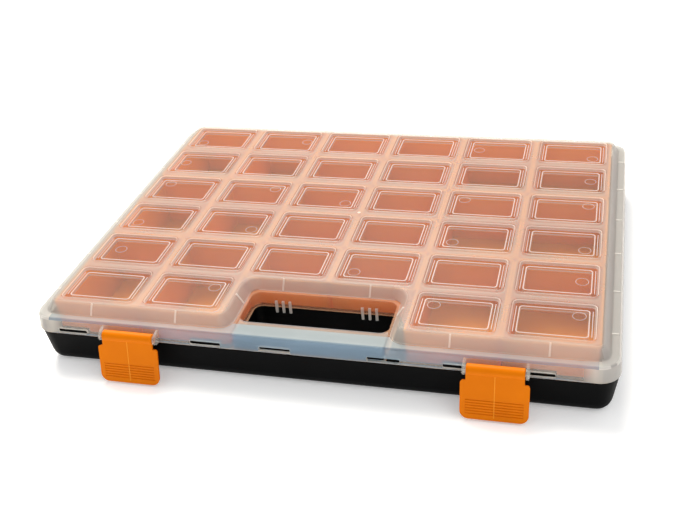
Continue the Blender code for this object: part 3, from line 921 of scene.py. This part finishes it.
def make_latch(name, side):
    """Barrel, leaning plate with rounded lower corners and grip ridges, and a hook behind."""
    centre = side * LATCH_X
    face = BARREL_RADIUS - 0.8
    back = face - LATCH_THICK

    def plate(bm):
        """The plate drawn flat, (across, down), then placed along the lean."""
        flat = [(-PLATE_HALF, 7, 1.2), (-PLATE_HALF, LATCH_LENGTH, 5), (PLATE_HALF, LATCH_LENGTH, 5),
                (PLATE_HALF, 7, 1.2)]
        layers = soften([(3, back, 0), (0, back, 0.3), (0, face, 0.7), (3, face, 0)], 4)
        rings = []
        for inset, offset in layers:
            points = []
            for across, down, _ in ring(flat, min(inset, 1.2), 0, 8):
                y, z = latch_point(down, offset)
                points.append((centre + across, y, z))
            rings.append(points)
        loft(bm, rings[1:-1])

    def neck(bm):
        """Joins the plate to the barrel."""
        outline = [latch_point(0, back + 0.3), latch_point(0, face - 0.02), latch_point(9, face - 0.02),
                   latch_point(9, back + 0.3)]
        prism(bm, outline, centre - BARREL_HALF, centre + BARREL_HALF)

    def barrel(bm):
        rod(bm, LATCH_PIVOT, BARREL_RADIUS, centre - BARREL_HALF, centre + BARREL_HALF, 40, 0.5)

    def hook(bm):
        """The hook behind the plate, just under the base's catch."""
        top = CATCH_Z[0] - 0.3
        prism(bm, [(HOOK_TIP, top), (HOOK_TIP, top - 2), (HOOK_ROOT, top - 5), (HOOK_ROOT, top)],
              centre - HOOK_HALF, centre + HOOK_HALF)

    def ridges(bm):
        """Grooves between the finger ridges, near the lower edge."""
        for index in range(RIDGES):
            down = LATCH_LENGTH - 3.4 - index * RIDGE_PITCH
            outline = [latch_point(down - 0.55, face + 0.6), latch_point(down - 0.3, face - 0.4),
                       latch_point(down + 0.3, face - 0.4), latch_point(down + 0.55, face + 0.6)]
            prism(bm, outline, centre - PLATE_HALF + 2.6, centre + PLATE_HALF - 2.6, 0.3)

    def parting(bm):
        """A fine raised centre line from the mould, from the barrel to the lower edge."""
        low = LATCH_LENGTH - 1.2
        outline = [latch_point(2, face - 0.5), latch_point(2, face + PARTING[1]),
                   latch_point(low, face + PARTING[1]), latch_point(low, face - 0.5)]
        prism(bm, outline, centre - PARTING[0], centre + PARTING[0], 0.03)

    def bores(bm):
        """Blind holes for the pegs."""
        for end in (-1, 1):
            inner, outer = centre + end * (BARREL_HALF - 4), centre + end * (BARREL_HALF + 5)
            rod(bm, LATCH_PIVOT, BORE_RADIUS, *sorted((inner, outer)), 20)

    latch = shape(name + "_body", plate, [
        ("UNION", neck), ("UNION", barrel), ("UNION", hook), ("DIFFERENCE", ridges), ("UNION", parting),
        ("DIFFERENCE", bores)])
    latch.data.materials.clear()
    latch.data.materials.append(LATCH)
    latch.data.materials.append(LATCH_LINE_HIGHLIGHT)
    for polygon in latch.data.polygons:
        box = FaceBox(latch.data, polygon)
        # The parting line's faces take the painted highlight.
        on_highlight_line = abs(box.middle[0] - centre) <= PARTING[0] and box.high[0] - box.low[0] <= 2.1 * PARTING[0]
        polygon.material_index = int(on_highlight_line and box.high[1] < LATCH_PIVOT[0] - 1)
    finish_mesh(latch)
    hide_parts(name)
    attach(latch, name)


# ---------------------------------------------------------------- stage, lights and camera

SENSOR, LENS = 36, 50.914
EYE = Vector((177.3, -646.2, 422.6))
TARGET = Vector((6.7, -59.5, 40))
ROLL = radians(-4.77)


def make_camera():
    """A camera with a normal lens, rolled a little."""
    data = bpy.data.cameras.new("camera")
    data.sensor_width = SENSOR
    data.sensor_fit = "HORIZONTAL"
    data.lens = LENS
    camera = bpy.data.objects.new("camera", data)
    bpy.context.scene.collection.objects.link(camera)
    aim = (TARGET - EYE).to_track_quat("-Z", "Y").to_matrix() @ Matrix.Rotation(ROLL, 3, "Z")
    camera.matrix_world = Matrix.Translation(EYE * MM) @ aim.to_4x4()
    bpy.context.scene.camera = camera


def make_light(name, place, target, size, power, colour=(1, 1, 1)):
    """A soft rectangular light, with its place and target in metres."""
    data = bpy.data.lights.new(name, "AREA")
    data.shape = "RECTANGLE"
    data.size, data.size_y = size
    data.energy = power
    data.color = colour
    light = bpy.data.objects.new(name, data)
    bpy.context.scene.collection.objects.link(light)
    place, target = Vector(place), Vector(target)
    turn = (target - place).to_track_quat("-Z", "Y").to_matrix().to_4x4()
    light.matrix_world = Matrix.Translation(place) @ turn


FLOOR_HALF = 4000
FLOOR_BOTTOM, FLOOR_TOP = -12, -0.05


def floor_slab(bm):
    half = FLOOR_HALF
    loft(bm, [[(-half, -half, z), (half, -half, z), (half, half, z), (-half, half, z)]
              for z in (FLOOR_BOTTOM, FLOOR_TOP)])


def make_stage():
    """A pale floor, an even white sky, a soft key light behind on the left and a weak fill in front."""
    floor = tool(floor_slab, "floor")
    material, tree, output = fresh("floor_white")
    shader = add(tree, "ShaderNodeBsdfPrincipled", Roughness=0.9, Specular_IOR_Level=0.2)
    pale = ramp(tree, noise(tree, 3, 2), [(0.3, (0.93, 0.93, 0.93)), (0.7, (0.95, 0.95, 0.95))])
    tree.links.new(pale, shader.inputs["Base Color"])
    shader.inputs["Emission Color"].default_value = (1, 1, 1, 1)
    shader.inputs["Emission Strength"].default_value = 0.25
    tree.links.new(shader.outputs["BSDF"], output.inputs["Surface"])
    floor.data.materials.append(material)
    world = bpy.data.worlds.new("studio")
    bpy.context.scene.world = world
    world.use_nodes = True
    sky = world.node_tree.nodes["Background"]
    sky.inputs["Color"].default_value = (1, 1, 1, 1)
    sky.inputs["Strength"].default_value = 0.70
    make_light("key", (-0.5, 0.9, 1.5), (0, 0, 0), (1.2, 1.2), 58, (1, 0.95, 0.86))
    make_light("fill", (1.1, -0.9, 1.2), (0, 0, 0), (1.2, 1.2), 5)


make_base()
make_lid()
make_latch("latch_left", -1)
make_latch("latch_right", 1)
for bin_node in sorted(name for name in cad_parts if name.startswith("bin_")):
    make_bin(bin_node)
make_stage()
make_camera()
bpy.context.scene.view_settings.view_transform = "Standard"
